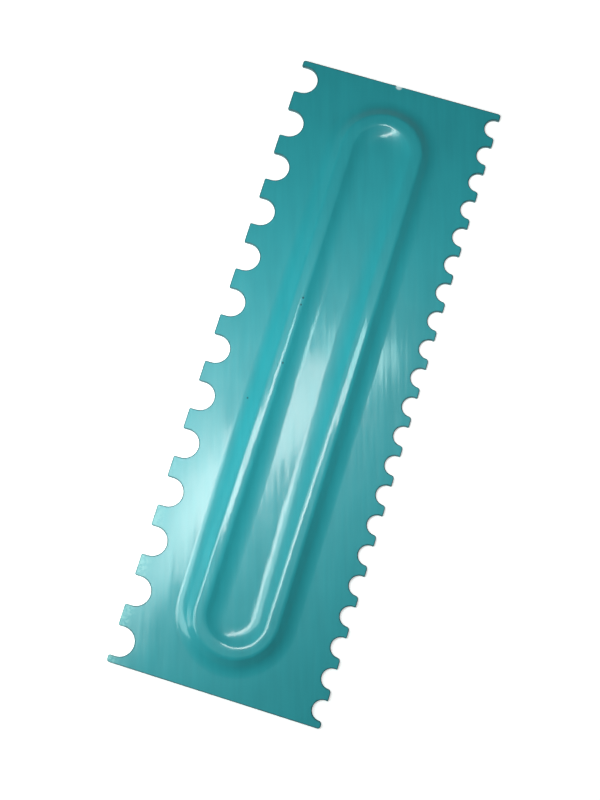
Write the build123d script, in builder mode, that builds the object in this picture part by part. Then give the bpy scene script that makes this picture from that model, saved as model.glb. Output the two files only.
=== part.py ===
"""Icing smoother: a thin plastic comb that is drawn round the side of an iced cake.

It is one moulding. One long edge has a row of coarse notches, the other a row of fine ones, and a
raised ridge runs as a long loop round the middle, which stiffens the plate and gives the fingers a hold.
The wall has the same thickness everywhere, so the ridge is a groove in the back.

+X is the fine edge, +Y is the end with the gate mark, and +Z is the front. The back lies on Z = 0.
"""
import os
from math import atan2, sqrt, tan

from build123d import *

# Plate, in millimetres
plate_length = 225.0
plate_width = 74.6
wall = 1.5
plate_corner_radius = 1.0
rim_radius = 0.3

# Coarse notches down the left edge: straight sides and a half-round bottom
coarse_count = 13
coarse_radius = 5.0
coarse_side_length = 2.25
coarse_end_land = 2.5
coarse_tip_radius = 0.5

# Fine notches down the right edge: arcs of a circle whose centre lies a little inside the edge
fine_count = 21
fine_radius = 3.4
fine_centre_inset = 1.0
fine_end_land = 2.75
fine_tip_upper_radius = 1.2
fine_tip_lower_radius = 0.4

# Ridge: a loop with two straight runs and two round ends, measured on the front between sharp corners
ridge_height = 2.4
ridge_top_width = 3.7
ridge_turn_radius = 12.5
ridge_end_margin = 8.75
outer_slope_run = 4.15
inner_slope_run = 3.8
crest_outer_radius = 2.5
crest_inner_radius = 3.5
outer_foot_radius = 8.5
inner_foot_radius = 11.0
# The floor inside the loop stands a little above the plate round it
floor_rise = 0.7

# Gate mark: the small nick left in the end face where the moulding was cut from its runner
gate_offset = 1.0
gate_nick_radius = 1.1
gate_nick_depth = 0.6

# A tooth's two rounded corners take at most this share each of the land between two notches
tip_land_share = 0.45

# Places of the notches, spread evenly between the two end lands
fine_mouth_half = sqrt(fine_radius**2 - fine_centre_inset**2)
coarse_pitch = (plate_length - 2 * (coarse_end_land + coarse_radius)) / (coarse_count - 1)
fine_pitch = (plate_length - 2 * (fine_end_land + fine_mouth_half)) / (fine_count - 1)
coarse_tip = min(coarse_tip_radius, tip_land_share * (coarse_pitch - 2 * coarse_radius))
fine_land = fine_pitch - 2 * fine_mouth_half
fine_tip_upper = min(fine_tip_upper_radius, tip_land_share * fine_land)
fine_tip_lower = min(fine_tip_lower_radius, tip_land_share * fine_land)

# Section of the ridge, as distances from the middle of its turn. The back line runs one wall behind the front
outer_angle = atan2(ridge_height, outer_slope_run)
inner_angle = atan2(ridge_height - floor_rise, inner_slope_run)
crest_outer = ridge_turn_radius + ridge_top_width / 2
crest_inner = ridge_turn_radius - ridge_top_width / 2
foot_outer = crest_outer + outer_slope_run
foot_inner = crest_inner - inner_slope_run
outer_shift = wall * tan(outer_angle / 2)
inner_shift = wall * tan(inner_angle / 2)
band_outer = foot_outer + (outer_foot_radius + wall) * tan(outer_angle / 2)
band_inner = foot_inner - (inner_foot_radius + wall) * tan(inner_angle / 2)
straight_half = plate_length / 2 - ridge_end_margin - foot_outer


def ridge_section(plane):
    """The wall's section across one run of the ridge, with a flat margin each side of it."""
    crest = wall + ridge_height
    front = [
        (band_inner, wall + floor_rise),
        (foot_inner, wall + floor_rise),
        (crest_inner, crest),
        (crest_outer, crest),
        (foot_outer, wall),
        (band_outer, wall),
    ]
    back = [
        (band_outer, 0),
        (foot_outer - outer_shift, 0),
        (crest_outer - outer_shift, ridge_height),
        (crest_inner + inner_shift, ridge_height),
        (foot_inner + inner_shift, floor_rise),
        (band_inner, floor_rise),
    ]
    with BuildSketch(plane) as section:
        with BuildLine():
            Polyline(*front, *back, close=True)
        make_face()
        # From the middle outwards, each corner of the front has its fellow of the back beside it
        corners = section.vertices().sort_by(Axis.X)
        fillet(corners[2], radius=inner_foot_radius)
        fillet(corners[3], radius=inner_foot_radius + wall)
        fillet(corners[4], radius=crest_inner_radius)
        fillet(corners[5], radius=crest_inner_radius - wall)
        fillet(corners[6], radius=crest_outer_radius - wall)
        fillet(corners[7], radius=crest_outer_radius)
        fillet(corners[8], radius=outer_foot_radius + wall)
        fillet(corners[9], radius=outer_foot_radius)
    return section


with BuildPart() as comb_plate:
    # Outline: a rectangle with a row of notches cut into each long edge
    with BuildSketch() as outline:
        Rectangle(plate_width, plate_length)
        with Locations((-plate_width / 2, 0)):
            with GridLocations(0, coarse_pitch, 1, coarse_count):
                SlotCenterToCenter(2 * coarse_side_length, 2 * coarse_radius, mode=Mode.SUBTRACT)
        with Locations((plate_width / 2 - fine_centre_inset, 0)):
            with GridLocations(0, fine_pitch, 1, fine_count):
                Circle(fine_radius, mode=Mode.SUBTRACT)
        left_corners = outline.vertices().group_by(Axis.X)[0].sort_by(Axis.Y)
        fillet(left_corners[1:-1], radius=coarse_tip)
        right_corners = outline.vertices().group_by(Axis.X)[-1].sort_by(Axis.Y)
        fillet(right_corners[1:-1:2], radius=fine_tip_upper)
        fillet(right_corners[2:-1:2], radius=fine_tip_lower)
        by_length = outline.vertices().group_by(Axis.Y)
        fillet(by_length[0] + by_length[-1], radius=plate_corner_radius)
    extrude(amount=wall)

    # The ridge and the floor inside it take the place of a part of the flat plate
    with BuildSketch():
        SlotCenterToCenter(2 * straight_half, 2 * band_outer, rotation=90)
    extrude(amount=wall, mode=Mode.SUBTRACT)
    with BuildSketch(Plane.XY.offset(floor_rise)):
        SlotCenterToCenter(2 * straight_half, 2 * band_inner, rotation=90)
    extrude(amount=wall)

    # Ridge: the right-hand run with the turn at the +Y end, then the left-hand run with the other turn
    for facing in (1, -1):
        run_plane = Plane(origin=(0, 0, 0), x_dir=(facing, 0, 0), z_dir=(0, -facing, 0))
        turn_plane = run_plane.offset(-straight_half)
        turn_axis = Axis((0, facing * straight_half, 0), (0, 0, 1))
        extrude(ridge_section(run_plane).sketch, amount=straight_half, both=True)
        revolve(ridge_section(turn_plane).sketch, axis=turn_axis, revolution_arc=180)

    # The rim of the outline is rounded on the front and the back
    flats = comb_plate.faces().filter_by(Axis.Z).sort_by(SortBy.AREA)
    front_rim = flats[-1].outer_wire().edges()
    back_rim = flats[-2].outer_wire().edges()
    fillet(front_rim + back_rim, radius=rim_radius)

    # Gate mark
    with BuildSketch():
        with Locations((-gate_offset, plate_length / 2 + gate_nick_radius - gate_nick_depth)):
            Circle(gate_nick_radius)
    extrude(amount=wall, mode=Mode.SUBTRACT)

comb_plate.part.label = "comb_plate"
os.makedirs("parts", exist_ok=True)
export_step(comb_plate.part, "parts/comb_plate.step")
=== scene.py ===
"""Looks of the icing smoother: one glossy teal moulding, lying on a white table with its front up.

Lengths are in millimetres until a mesh, lamp or camera is made; +X is the fine edge, +Y the end with
the gate mark, and +Z the front.
"""
from math import atan2, ceil, cos, hypot, pi, radians, sin, sqrt, tan

import bpy
from mathutils import Matrix, Vector
from mathutils.geometry import delaunay_2d_cdt


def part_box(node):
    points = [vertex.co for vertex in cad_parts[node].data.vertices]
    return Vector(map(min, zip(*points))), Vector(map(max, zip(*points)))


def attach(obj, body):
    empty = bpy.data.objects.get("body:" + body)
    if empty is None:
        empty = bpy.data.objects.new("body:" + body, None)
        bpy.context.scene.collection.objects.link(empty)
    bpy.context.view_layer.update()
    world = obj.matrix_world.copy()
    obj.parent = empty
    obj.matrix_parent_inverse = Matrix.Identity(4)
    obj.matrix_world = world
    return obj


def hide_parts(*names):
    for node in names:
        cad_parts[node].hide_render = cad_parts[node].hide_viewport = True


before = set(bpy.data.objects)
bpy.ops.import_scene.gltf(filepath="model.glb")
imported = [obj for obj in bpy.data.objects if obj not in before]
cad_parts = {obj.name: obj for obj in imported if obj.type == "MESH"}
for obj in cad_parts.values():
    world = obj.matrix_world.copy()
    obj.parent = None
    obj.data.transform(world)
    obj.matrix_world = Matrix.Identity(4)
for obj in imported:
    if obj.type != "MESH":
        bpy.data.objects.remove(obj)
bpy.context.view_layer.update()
MM = 0.001

# Plate: its outer sizes come from the frame, and the rest are the moulding's own
low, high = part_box("comb_plate")
plate_width, plate_length, plate_height = [round((high[i] - low[i]) / MM, 3) for i in range(3)]
wall = 1.5
ridge_height = plate_height - wall
plate_corner_radius = 1.0
rim_radius = 0.3

# Notches
coarse_count = 13
coarse_radius = 5.0
coarse_side_length = 2.25
coarse_end_land = 2.5
coarse_tip_radius = 0.5
fine_count = 21
fine_radius = 3.4
fine_centre_inset = 1.0
fine_end_land = 2.75
fine_tip_upper_radius = 1.2
fine_tip_lower_radius = 0.4

# Ridge: its loop and its section, measured on the front between sharp corners
ridge_top_width = 3.7
ridge_turn_radius = 12.5
ridge_end_margin = 8.75
outer_slope_run = 4.15
inner_slope_run = 3.8
crest_outer_radius = 2.5
crest_inner_radius = 3.5
outer_foot_radius = 8.5
inner_foot_radius = 11.0
floor_rise = 0.7
# How far the rounds reach along the flats and up the slopes, over what plain rounds of their radii would
outer_foot_lead_share = 1.12
inner_foot_lead_share = 1.4
foot_end_share = 0.95
crest_inner_lead_share = 2.3
crest_outer_lead_share = 1.3

# Gate mark
gate_offset = 1.0
gate_nick_radius = 1.1
gate_nick_depth = 0.6
gate_corner_radius = 0.15
gate_rim_radius = 0.08

# Fineness of the mesh
arc_step = radians(9)
longest_run = 2.5
grid_step = 3.0
grid_margin = 1.2
rim_steps = 4
rim_margin = 0.08
section_step = radians(1.5)
loop_turn_steps = 64
least_arc_steps = 3
same_place = 1e-4
merge_gap = 1e-6

fine_mouth_half = sqrt(fine_radius**2 - fine_centre_inset**2)
coarse_pitch = (plate_length - 2 * (coarse_end_land + coarse_radius)) / (coarse_count - 1)
fine_pitch = (plate_length - 2 * (fine_end_land + fine_mouth_half)) / (fine_count - 1)
outer_angle = atan2(ridge_height, outer_slope_run)
inner_angle = atan2(ridge_height - floor_rise, inner_slope_run)
crest_outer = ridge_turn_radius + ridge_top_width / 2
crest_inner = ridge_turn_radius - ridge_top_width / 2
foot_outer = crest_outer + outer_slope_run
foot_inner = crest_inner - inner_slope_run
outer_shift = wall * tan(outer_angle / 2)
inner_shift = wall * tan(inner_angle / 2)
band_outer = foot_outer + (outer_foot_radius + wall) * tan(outer_angle / 2) * outer_foot_lead_share
band_inner = foot_inner - (inner_foot_radius + wall) * tan(inner_angle / 2) * inner_foot_lead_share
straight_half = plate_length / 2 - ridge_end_margin - foot_outer

# Camera: the photograph's upright is turned from the plate's length
camera_lens = 53.63
camera_place = (28.1, -79.0, 405.7 + wall)
camera_target = (-1.43, -8.9, wall)
camera_turn = radians(17.11)

# Plastic: its colours and gloss, and its round marks with their centres and radii
body_colour = (0.0230, 0.294, 0.336, 1)
# Painted sheen: a paler mint laid on the coarse edge's tips at the lower end, standing in for light that
# their rounded rims reflect
painted_sheen_colour = (0.30, 0.62, 0.60, 1)
scar_colour = (0.72, 0.85, 0.88, 1)
speck_colour = (0.01, 0.09, 0.10, 1)
painted_sheen_strength = 0.55
# Painted shade: how much darker the rim's colour is made where its rounding reflects dark surroundings
painted_rim_shade = 0.6
sharp_roughness = 0.112
refractive_index = 1.49
specular_level = 0.345
coat_weight = 0.54
coat_roughness = 0.32
scars = [((-1.0, 112.3, 1.5), 1.5)]
specks = [
    ((-10.9, 25.8, 3.86), 0.5),
    ((-10.9, 23.2, 3.86), 0.45),
    ((-10.8, 1.5, 3.86), 0.45),
    ((-19.0, -13.5, 1.52), 0.5),
]
mark_core_share = 0.5

# Areas of the plate: the two places between which each one fades in or out
worn_span = (-36, -22)
crest_span = (3.3, 3.7)
# Where the painted sheen on the coarse edge's tips lies, across the plate and along it
painted_sheen_edge_span = (-37.4, -32.0)
painted_sheen_end_span = (-95, -30)
speckle_span = (-0.12, 0.12)
speckle_least = 0.25

# Grains of the plastic: how long they are along x, y and z before they are turned
streak_grain = (1.1, 18, 18)
wave_grain = (3.6, 26, 26)
blotch_grain = (13, 13, 13)
speckle_grain = (1.1, 1.1, 1.1)
speckle_detail = 3.0

# What the grains and areas add to the shade, to the roughness and, in millimetres, to the height
streak_shade = 0.10
wave_shade = 0.14
blotch_shade = 0.10
wave_roughness = 0.08
blotch_roughness = 0.05
worn_roughness = 0.13
crest_roughness = -0.04
painted_sheen_roughness = 0.10
rim_roughness = 0.35
streak_height = 0.010
wave_height = 0.05
blotch_height = 0.06

# Table: it glows less near the plate, between these distances and strengths
table_half_size = 4000
table_drop = 0.05
table_colour = (0.9, 0.9, 0.9, 1)
table_roughness = 0.9
glow_colour = (1, 1, 1, 1)
glow_span = (100, 400)
glow_strengths = (0.55, 1.0)

# Sky: heights on its unit ball, and how bright it is there
horizon_level = 1.0
sky_levels = [(0.05, 0.2), (0.4, 0.16), (0.65, 0.05)]

# Key lamp: a long strip whose brightness and tint change along it, as start, stop, brightness, colour
key_place = Vector((-65, -6, 426 + wall))
key_turn = 1.066
key_width = 44
key_parts = [
    (-150, -115, 7.0, (0.93, 1.0, 0.95)),
    (-115, -50, 12.0, (0.93, 1.0, 0.95)),
    (-50, 30, 11.3, (1.08, 0.95, 0.9)),
    (30, 110, 14.2, (1.0, 0.97, 0.93)),
    (110, 150, 12.8, (0.72, 1.0, 0.95)),
]

# Other lamps: name, place, turn of the long side, size, brightness, colour, seen in gloss or not
panels = [
    ("veil", (-166, -118, 306 + wall), 0.8455, (400, 82), 5.9, (0.74, 1, 0.97), True),
    ("low", (-319, -122, 82 + wall), -0.569, (260, 68), 4.7, (0.85, 1, 0.95), True),
    ("pool", (-32, -12, 80 + wall), 0.921, (202, 70), 2.1, (0.9, 1, 1), False),
]


class Outline:
    """The plate's outline as points with outward normals, traced anticlockwise."""

    def __init__(self):
        self.points = []

    def add(self, x, y, nx, ny, rim=rim_radius):
        if self.points:
            last = self.points[-1]
            if hypot(x - last[0], y - last[1]) < same_place:
                return
        self.points.append((x, y, nx, ny, rim))

    def arc(self, centre, radius, start, end, hollow=False, rim=rim_radius):
        """Points along an arc. On a hollow arc the plate lies outside the circle."""
        steps = max(least_arc_steps, ceil(abs(end - start) / arc_step))
        for i in range(steps + 1):
            angle = start + (end - start) * i / steps
            c, s = cos(angle), sin(angle)
            sign = -1 if hollow else 1
            self.add(centre[0] + radius * c, centre[1] + radius * s, sign * c, sign * s, rim)

    def line_to(self, x, y):
        """A straight run from the last point, in steps short enough to bend with the plate."""
        x0, y0, nx, ny, rim = self.points[-1]
        dx, dy = x - x0, y - y0
        length = hypot(dx, dy)
        steps = max(1, ceil(length / longest_run))
        for i in range(1, steps + 1):
            self.add(x0 + dx * i / steps, y0 + dy * i / steps, dy / length, -dx / length)


def tooth_corner(radius, inset, tip):
    """How far along the edge a tooth corner's centre is from its notch's, and the tilt of their line."""
    offset = sqrt((radius + tip) ** 2 - (inset - tip) ** 2)
    return offset, atan2(inset - tip, offset)


def trace_outline():
    out = Outline()
    half_w, half_l = plate_width / 2, plate_length / 2
    corner = plate_corner_radius

    # Fine edge, upwards: each notch is an arc between two rounded tooth corners
    out.arc((half_w - corner, -half_l + corner), corner, -pi / 2, 0)
    span = fine_pitch * (fine_count - 1)
    for index in range(fine_count):
        y = index * fine_pitch - span / 2
        tip = fine_tip_upper_radius
        offset, tilt = tooth_corner(fine_radius, fine_centre_inset, tip)
        start = -pi / 2 + tilt
        out.line_to(half_w, y - offset)
        out.arc((half_w - tip, y - offset), tip, 0, pi / 2 + tilt)
        tip = fine_tip_lower_radius
        offset, tilt = tooth_corner(fine_radius, fine_centre_inset, tip)
        out.arc((half_w - fine_centre_inset, y), fine_radius, start, -3 * pi / 2 - tilt, hollow=True)
        out.arc((half_w - tip, y + offset), tip, -pi / 2 - tilt, 0)
    out.line_to(half_w, half_l - corner)
    out.arc((half_w - corner, half_l - corner), corner, 0, pi / 2)

    # Gate end, leftwards: a small nick in the middle
    inset = gate_nick_depth - gate_nick_radius
    tip = gate_corner_radius
    offset, tilt = tooth_corner(gate_nick_radius, inset, tip)
    middle = (-gate_offset, half_l - inset)
    out.line_to(-gate_offset + offset, half_l)
    out.arc((-gate_offset + offset, half_l - tip), tip, pi / 2, pi + tilt, rim=gate_rim_radius)
    out.arc(middle, gate_nick_radius, tilt, -pi - tilt, True, gate_rim_radius)
    out.arc((-gate_offset - offset, half_l - tip), tip, -tilt, pi / 2, rim=gate_rim_radius)
    out.line_to(-half_w + corner, half_l)
    out.arc((-half_w + corner, half_l - corner), corner, pi / 2, pi)

    # Coarse edge, downwards: straight sides and a half-round bottom
    span = coarse_pitch * (coarse_count - 1)
    tip = coarse_tip_radius
    bottom_x = -half_w + coarse_side_length
    for index in range(coarse_count):
        y = span / 2 - index * coarse_pitch
        out.line_to(-half_w, y + coarse_radius + tip)
        out.arc((-half_w + tip, y + coarse_radius + tip), tip, pi, 3 * pi / 2)
        out.line_to(bottom_x, y + coarse_radius)
        out.arc((bottom_x, y), coarse_radius, pi / 2, -pi / 2, hollow=True)
        out.line_to(-half_w + tip, y - coarse_radius)
        out.arc((-half_w + tip, y - coarse_radius - tip), tip, pi / 2, pi)
    out.line_to(-half_w, -half_l + corner)
    out.arc((-half_w + corner, -half_l + corner), corner, pi, 3 * pi / 2)
    out.line_to(half_w - corner, -half_l)
    return out.points[:-1]


def section_line(corners, rounds):
    """A section through corners, each rounded, as (across, z, normal across, normal z).

    A round is a radius and two shares: how far its curve reaches along the run before the corner and
    along the run after it, over the reach of a plain round of that radius.
    """
    line = [(*corners[0], 0.0, 1.0)]
    for before, corner, after, (radius, lead, tail) in zip(corners, corners[1:], corners[2:], rounds):
        turn_in = atan2(corner[1] - before[1], corner[0] - before[0])
        turn_out = atan2(after[1] - corner[1], after[0] - corner[0])
        reach = radius * tan(abs(turn_out - turn_in) / 2)
        first = Vector((cos(turn_in), sin(turn_in))) * reach * lead
        last = Vector((cos(turn_out), sin(turn_out))) * reach * tail
        steps = ceil(abs(turn_out - turn_in) / section_step)
        for k in range(steps + 1):
            s = k / steps
            place = Vector(corner) - first * (1 - s) ** 2 + last * s**2
            along = (first * (1 - s) + last * s).normalized()
            line.append((place.x, place.y, -along.y, along.x))
    line.append((*corners[-1], 0.0, 1.0))
    return line


def ridge_lines():
    """The front and the back of the ridge's section, outwards from the middle of its turn."""
    crest = wall + ridge_height
    front = [
        (band_inner, wall + floor_rise),
        (foot_inner, wall + floor_rise),
        (crest_inner, crest),
        (crest_outer, crest),
        (foot_outer, wall),
        (band_outer, wall),
    ]
    back = [
        (band_inner, floor_rise),
        (foot_inner + inner_shift, floor_rise),
        (crest_inner + inner_shift, ridge_height),
        (crest_outer - outer_shift, ridge_height),
        (foot_outer - outer_shift, 0.0),
        (band_outer, 0.0),
    ]
    lines = []
    for corners, foot_wall, crest_wall in ((front, 0.0, 0.0), (back, wall, -wall)):
        rounds = [
            (inner_foot_radius + foot_wall, inner_foot_lead_share, foot_end_share),
            (crest_inner_radius + crest_wall, 1.0, crest_inner_lead_share),
            (crest_outer_radius + crest_wall, crest_outer_lead_share, 1.0),
            (outer_foot_radius + foot_wall, foot_end_share, outer_foot_lead_share),
        ]
        lines.append(section_line(corners, rounds))
    return lines


def loop_places():
    """Directions along the ridge's loop, as (x part, y part, y of the turn's centre)."""
    runs = ceil(2 * straight_half / longest_run)
    places = []
    for side in (1, -1):
        for i in range(runs):
            y = side * (2 * straight_half * i / runs - straight_half)
            places.append((side, 0.0, y))
        for i in range(loop_turn_steps):
            angle = pi * i / loop_turn_steps
            places.append((side * cos(angle), side * sin(angle), side * straight_half))
    return places


class Shell:
    """Vertices with their own normals and a share that is 1 on the plate's rim, and faces."""

    def __init__(self):
        self.places = []
        self.normals = []
        self.rims = []
        self.faces = []

    def add(self, place, normal, rim=0.0):
        self.places.append(place)
        self.normals.append(normal)
        self.rims.append(rim)
        return len(self.places) - 1

    def strip(self, first, second):
        """Quads between two closed rows of vertices."""
        count = len(first)
        for i in range(count):
            j = (i + 1) % count
            self.faces.append((first[i], first[j], second[j], second[i]))

    def flat(self, rows, inside, z, facing):
        """Triangles over a flat area, between closed rows of vertices and over a grid inside them."""
        points, index, edges = [], [], []
        for row in rows:
            base = len(points)
            points += [Vector(self.places[v][:2]) for v in row]
            index += list(row)
            edges += [(base + i, base + (i + 1) % len(row)) for i in range(len(row))]
        columns = int(plate_width / grid_step) + 1
        ranks = int(plate_length / grid_step) + 1
        for rank in range(-ranks // 2, ranks // 2 + 1):
            for column in range(-columns // 2, columns // 2 + 1):
                x = (column + 0.5 * (rank % 2)) * grid_step
                y = rank * grid_step * sqrt(3) / 2
                if inside(x, y, grid_margin):
                    points.append(Vector((x, y)))
                    index.append(self.add((x, y, z), (0, 0, facing)))
        result = delaunay_2d_cdt(points, edges, [], 0, merge_gap)
        for face in result[2]:
            middle = sum((result[0][v] for v in face), Vector((0, 0))) / len(face)
            if inside(middle.x, middle.y, 0):
                corners = [index[result[3][v][0]] for v in face]
                self.faces.append(corners if facing > 0 else corners[::-1])


def in_outline(x, y, margin):
    """Whether a point lies in the plate's flat, clear of its notches and rim by the margin."""
    edge = rim_radius + margin
    if abs(x) > plate_width / 2 - edge or abs(y) > plate_length / 2 - edge:
        return False
    if x < 0:
        pitch, radius, count = coarse_pitch, coarse_radius, coarse_count
        centre_x = -plate_width / 2 + coarse_side_length
        past_centre = x < centre_x
    else:
        pitch, radius, count = fine_pitch, fine_radius, fine_count
        centre_x = plate_width / 2 - fine_centre_inset
        past_centre = False
    row = y / pitch + (count - 1) / 2
    nearest = min(max(round(row), 0), count - 1)
    dy = (row - nearest) * pitch
    dx = 0.0 if past_centre else x - centre_x
    return hypot(dx, dy) > radius + edge


def from_middle(x, y):
    """Distance from the line that the ridge's loop runs round."""
    return hypot(x, max(0.0, abs(y) - straight_half))


def build_shell():
    shell = Shell()
    outline = trace_outline()

    # Rim: a quarter round on the front, the cut face, and a quarter round on the back
    rows = []
    for side, level in ((1, wall), (-1, 0.0)):
        turns = [(rim_margin, 0.0, 0.0)]
        turns += [(0.0, pi / 2 * k / rim_steps, 1.0) for k in range(rim_steps + 1)]
        if side < 0:
            turns.reverse()
        for margin, angle, share in turns:
            row = []
            for x, y, nx, ny, rim in outline:
                inset = rim * (1 - sin(angle)) + margin
                drop = rim * (1 - cos(angle))
                place = (x - nx * inset, y - ny * inset, level - side * drop)
                normal = (nx * sin(angle), ny * sin(angle), side * cos(angle))
                row.append(shell.add(place, normal, share))
            rows.append(row)
    for first, second in zip(rows, rows[1:]):
        shell.strip(second, first)

    # Ridge and groove: closed rows that run round the loop, one for each point of the section
    places = loop_places()
    edges = []
    for line, facing in zip(ridge_lines(), (1, -1)):
        loops = []
        for across, z, normal_across, normal_z in line:
            row = []
            for ex, ey, centre_y in places:
                place = (ex * across, ey * across + centre_y, z)
                normal = (ex * normal_across * facing, ey * normal_across * facing, normal_z * facing)
                row.append(shell.add(place, normal))
            loops.append(row)
        for first, second in zip(loops, loops[1:]):
            if facing > 0:
                shell.strip(second, first)
            else:
                shell.strip(first, second)
        edges.append((loops[0], loops[-1]))

    def outside_ridge(x, y, margin):
        return in_outline(x, y, margin) and from_middle(x, y) > band_outer + margin

    def inside_ridge(x, y, margin):
        return from_middle(x, y) < band_inner - margin

    for (floor_row, web_row), rim_row, z, facing in zip(edges, (rows[0], rows[-1]), (wall, 0.0), (1, -1)):
        shell.flat([rim_row, web_row], outside_ridge, z, facing)
        shell.flat([floor_row], inside_ridge, z + floor_rise, facing)
    return shell


def make_plate(material):
    shell = build_shell()
    mesh = bpy.data.meshes.new("moulded_comb")
    mesh.from_pydata([[c * MM for c in p] for p in shell.places], [], shell.faces)
    mesh.shade_smooth()
    mesh.normals_split_custom_set_from_vertices([Vector(n).normalized() for n in shell.normals])
    mesh.attributes.new("rim", "FLOAT", "POINT").data.foreach_set("value", shell.rims)
    mesh.materials.append(material)
    mesh.update()
    piece = bpy.data.objects.new("moulded_comb", mesh)
    bpy.context.collection.objects.link(piece)
    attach(piece, "root")
    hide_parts("comb_plate")


class Nodes:
    """Short calls for building a material's node tree."""

    def __init__(self, material):
        material.use_nodes = True
        self.tree = material.node_tree
        self.shader = self.tree.nodes["Principled BSDF"]

    def link(self, value, socket):
        """Feeds a socket with another node's output or with a plain value."""
        if isinstance(value, bpy.types.NodeSocket):
            self.tree.links.new(value, socket)
        else:
            socket.default_value = value

    def add(self, kind, output, settings=None, **inputs):
        """A node's output, with the node's own settings made and its inputs fed by name."""
        node = self.tree.nodes.new(kind)
        for name, value in (settings or {}).items():
            setattr(node, name, value)
        for name, value in inputs.items():
            self.link(value, node.inputs[name.replace("_", " ")])
        return node.outputs[output]

    def split(self, vector):
        """The x, y and z of a vector."""
        node = self.tree.nodes.new("ShaderNodeSeparateXYZ")
        self.link(vector, node.inputs[0])
        return node.outputs

    def math(self, operation, first, second=0.0, third=0.0):
        node = self.tree.nodes.new("ShaderNodeMath")
        node.operation = operation
        for value, socket in zip((first, second, third), node.inputs):
            self.link(value, socket)
        return node.outputs[0]

    def total(self, start, *terms):
        """A start value plus each term's value times its amount."""
        for value, amount in terms:
            start = self.math("MULTIPLY_ADD", value, amount, start)
        return start

    def ramp(self, value, low, high, start=0.0, stop=1.0):
        """A smooth step from start to stop while the value goes from low to high."""
        settings = {"interpolation_type": "SMOOTHSTEP"}
        limits = {"From_Min": low, "From_Max": high, "To_Min": start, "To_Max": stop}
        return self.add("ShaderNodeMapRange", 0, settings, Value=value, **limits)

    def grain(self, place, lengths, turn=0.0, detail=1.0):
        """Noise about the middle value 0, whose grains have these lengths in millimetres."""
        settings = {"vector_type": "TEXTURE"}
        scale = [length * MM for length in lengths]
        spread = self.add(
            "ShaderNodeMapping", 0, settings, Vector=place, Rotation=(0, 0, turn), Scale=scale
        )
        noise = self.add("ShaderNodeTexNoise", 0, None, Vector=spread, Scale=1.0, Detail=detail)
        return self.math("SUBTRACT", noise, 0.5)

    def spot(self, place, centre, radius):
        """1 inside a round place on the plate, fading to 0 at its radius."""
        node = self.tree.nodes.new("ShaderNodeVectorMath")
        node.operation = "DISTANCE"
        self.link(place, node.inputs[0])
        node.inputs[1].default_value = [c * MM for c in centre]
        return self.ramp(node.outputs["Value"], mark_core_share * radius * MM, radius * MM, 1.0, 0.0)

    def mix(self, factor, first, second):
        """A colour that goes from the first to the second with the factor."""
        node = self.tree.nodes.new("ShaderNodeMix")
        node.data_type = "RGBA"
        self.link(factor, node.inputs["Factor"])
        self.link(first, node.inputs["A"])
        self.link(second, node.inputs["B"])
        return node.outputs["Result"]


def teal_plastic():
    """Glossy teal plastic with faint drawn streaks, a little waviness, a few moulding flaws, painted shade
    on its rim and a painted sheen on some tips.
    """
    material = bpy.data.materials.new("teal_plastic")
    nodes = Nodes(material)
    shader = nodes.shader
    place = nodes.add("ShaderNodeTexCoord", "Object")
    x, y, z = nodes.split(place)
    rim = nodes.add("ShaderNodeAttribute", "Fac", {"attribute_name": "rim"})
    worn = nodes.ramp(x, worn_span[0] * MM, worn_span[1] * MM, 1.0, 0.0)
    crest = nodes.ramp(z, crest_span[0] * MM, crest_span[1] * MM)
    streak = nodes.grain(place, streak_grain, camera_turn)
    wave = nodes.grain(place, wave_grain, camera_turn)
    blotch = nodes.grain(place, blotch_grain)
    speckle = nodes.grain(place, speckle_grain, detail=speckle_detail)

    # Body colour: streaks, painted shade on the rim, a painted sheen on the tips at one end, the gate's
    # scar and a few specks
    shade = nodes.total(1.0, (streak, streak_shade), (wave, wave_shade), (blotch, blotch_shade))
    # Painted shade on the rim: its colour is darkened where the rounded edge reflects dark
    shade = nodes.math("MULTIPLY", shade, nodes.total(1.0, (rim, -painted_rim_shade)))
    body = nodes.add("ShaderNodeHueSaturation", "Color", Color=body_colour, Value=shade)
    # Painted sheen: the coarse edge's tips at the lower end are made paler where their rims reflect light,
    # broken up by a speckle
    near_edge = nodes.ramp(x, painted_sheen_edge_span[0] * MM, painted_sheen_edge_span[1] * MM, 1.0, 0.0)
    low_end = nodes.ramp(y, painted_sheen_end_span[0] * MM, painted_sheen_end_span[1] * MM, 1.0, 0.0)
    pale = nodes.math("MULTIPLY", near_edge, low_end)
    pale = nodes.math("MULTIPLY", pale, nodes.ramp(speckle, *speckle_span, speckle_least, 1.0))
    colour = nodes.mix(nodes.math("MULTIPLY", pale, painted_sheen_strength), body, painted_sheen_colour)
    for centre, radius in scars:
        colour = nodes.mix(nodes.spot(place, centre, radius), colour, scar_colour)
    for centre, radius in specks:
        colour = nodes.mix(nodes.spot(place, centre, radius), colour, speck_colour)
    nodes.link(colour, shader.inputs["Base Color"])

    # Gloss: a sharp lobe whose width varies, under a softer one
    roughness = nodes.total(
        sharp_roughness,
        (wave, wave_roughness),
        (blotch, blotch_roughness),
        (worn, worn_roughness),
        (crest, crest_roughness),
        (pale, painted_sheen_roughness),
        (rim, rim_roughness),
    )
    nodes.link(roughness, shader.inputs["Roughness"])
    shader.inputs["IOR"].default_value = refractive_index
    shader.inputs["Specular IOR Level"].default_value = specular_level
    shader.inputs["Coat Weight"].default_value = coat_weight
    shader.inputs["Coat Roughness"].default_value = coat_roughness

    # Waviness of the moulding
    height = nodes.total(0.0, (streak, streak_height), (wave, wave_height), (blotch, blotch_height))
    bump = nodes.add("ShaderNodeBump", 0, None, Strength=1.0, Distance=MM, Height=height)
    nodes.link(bump, shader.inputs["Normal"])
    nodes.link(bump, shader.inputs["Coat Normal"])
    return material


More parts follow.
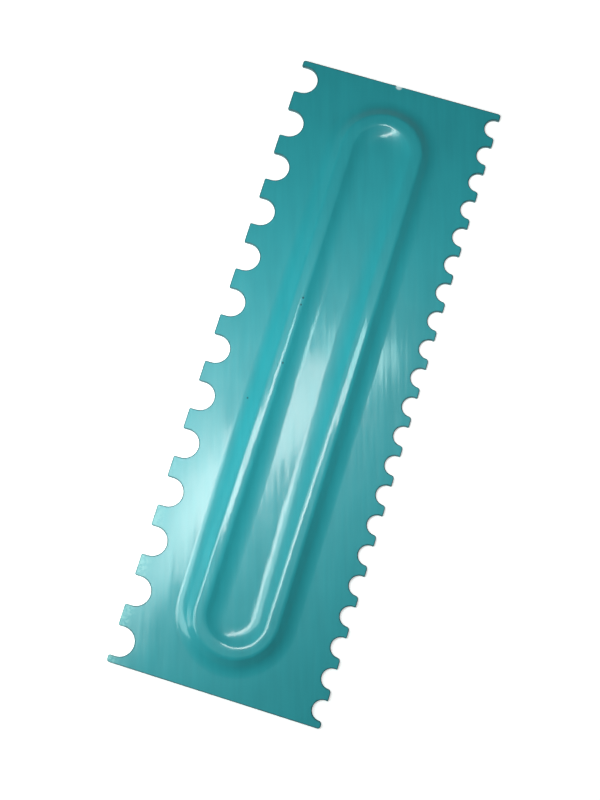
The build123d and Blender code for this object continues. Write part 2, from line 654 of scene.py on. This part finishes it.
def put(thing, place, right, up, back):
    """Puts a camera or a lamp, which looks away from its back, in its place."""
    axes = Matrix((right, up, back)).transposed().to_4x4()
    thing.matrix_world = Matrix.Translation(Vector(place) * MM) @ axes


def add_camera():
    """The camera looks down on the plate, with the photograph's upright turned from the plate's length."""
    data = bpy.data.cameras.new("camera")
    data.lens = camera_lens
    camera = bpy.data.objects.new("camera", data)
    bpy.context.collection.objects.link(camera)
    forward = (Vector(camera_target) - Vector(camera_place)).normalized()
    upright = Vector((-sin(camera_turn), cos(camera_turn), 0))
    right = forward.cross(upright).normalized()
    put(camera, camera_place, right, right.cross(forward), -forward)
    bpy.context.scene.camera = camera


def add_panel(name, place, target, turn, size, brightness, colour, glossy):
    """A soft rectangular lamp that faces a target, with the brightness that its surface shows."""
    data = bpy.data.lights.new(name, "AREA")
    data.shape = "RECTANGLE"
    data.size, data.size_y = size[0] * MM, size[1] * MM
    data.energy = brightness * pi * data.size * data.size_y
    data.color = colour
    lamp = bpy.data.objects.new(name, data)
    bpy.context.collection.objects.link(lamp)
    lamp.visible_camera = False
    lamp.visible_glossy = glossy
    back = (Vector(place) - Vector(target)).normalized()
    along = Vector((cos(turn), sin(turn), 0))
    along = (along - back * along.dot(back)).normalized()
    put(lamp, place, along, back.cross(along), back)


def add_lamps():
    middle = Vector((0, 0, wall))
    for index, (start, stop, brightness, colour) in enumerate(key_parts):
        shift = Vector((cos(key_turn), sin(key_turn), 0)) * (start + stop) / 2
        size = (stop - start, key_width)
        target = middle + shift
        add_panel(f"key_{index}", key_place + shift, target, key_turn, size, brightness, colour, True)
    for name, place, turn, size, brightness, colour, glossy in panels:
        add_panel(name, place, middle, turn, size, brightness, colour, glossy)


def add_floor():
    size = table_half_size * MM
    mesh = bpy.data.meshes.new("table")
    corners = [(-size, -size, 0), (size, -size, 0), (size, size, 0), (-size, size, 0)]
    mesh.from_pydata(corners, [], [(0, 1, 2, 3)])
    mesh.materials.append(white_table())
    floor = bpy.data.objects.new("table", mesh)
    floor.location.z = -table_drop * MM
    bpy.context.collection.objects.link(floor)


def white_table():
    """A pale table that looks white to the camera and to gloss, and keeps the plate's shadow."""
    material = bpy.data.materials.new("white_table")
    nodes = Nodes(material)
    shader = nodes.shader
    shader.inputs["Base Color"].default_value = table_colour
    shader.inputs["Roughness"].default_value = table_roughness
    shader.inputs["Specular IOR Level"].default_value = 0.0
    shader.inputs["Emission Color"].default_value = glow_colour
    place = nodes.add("ShaderNodeTexCoord", "Object")
    distance = nodes.add("ShaderNodeVectorMath", "Value", {"operation": "LENGTH"}, Vector=place)
    glow = nodes.ramp(distance, glow_span[0] * MM, glow_span[1] * MM, *glow_strengths)
    ray = nodes.tree.nodes.new("ShaderNodeLightPath")
    seen = nodes.math("MAXIMUM", ray.outputs["Is Camera Ray"], ray.outputs["Is Glossy Ray"])
    seen = nodes.math("MAXIMUM", seen, ray.outputs["Is Transmission Ray"])
    nodes.link(nodes.math("MULTIPLY", seen, glow), shader.inputs["Emission Strength"])
    return material


def set_world():
    """A pale band round the horizon, dim overhead."""
    world = bpy.data.worlds.new("studio")
    bpy.context.scene.world = world
    world.use_nodes = True
    tree = world.node_tree
    coordinates = tree.nodes.new("ShaderNodeTexCoord")
    parts = tree.nodes.new("ShaderNodeSeparateXYZ")
    sky = tree.nodes.new("ShaderNodeValToRGB")
    sky.color_ramp.interpolation = "EASE"
    stops = sky.color_ramp.elements
    stops.remove(stops[-1])
    stops[0].color = (horizon_level, horizon_level, horizon_level, 1)
    for height, level in sky_levels:
        stops.new(height).color = (level, level, level, 1)
    tree.links.new(coordinates.outputs["Generated"], parts.inputs[0])
    tree.links.new(parts.outputs["Z"], sky.inputs["Fac"])
    tree.links.new(sky.outputs["Color"], tree.nodes["Background"].inputs["Color"])


make_plate(teal_plastic())
add_camera()
add_floor()
set_world()
add_lamps()
bpy.context.scene.view_settings.view_transform = "Standard"
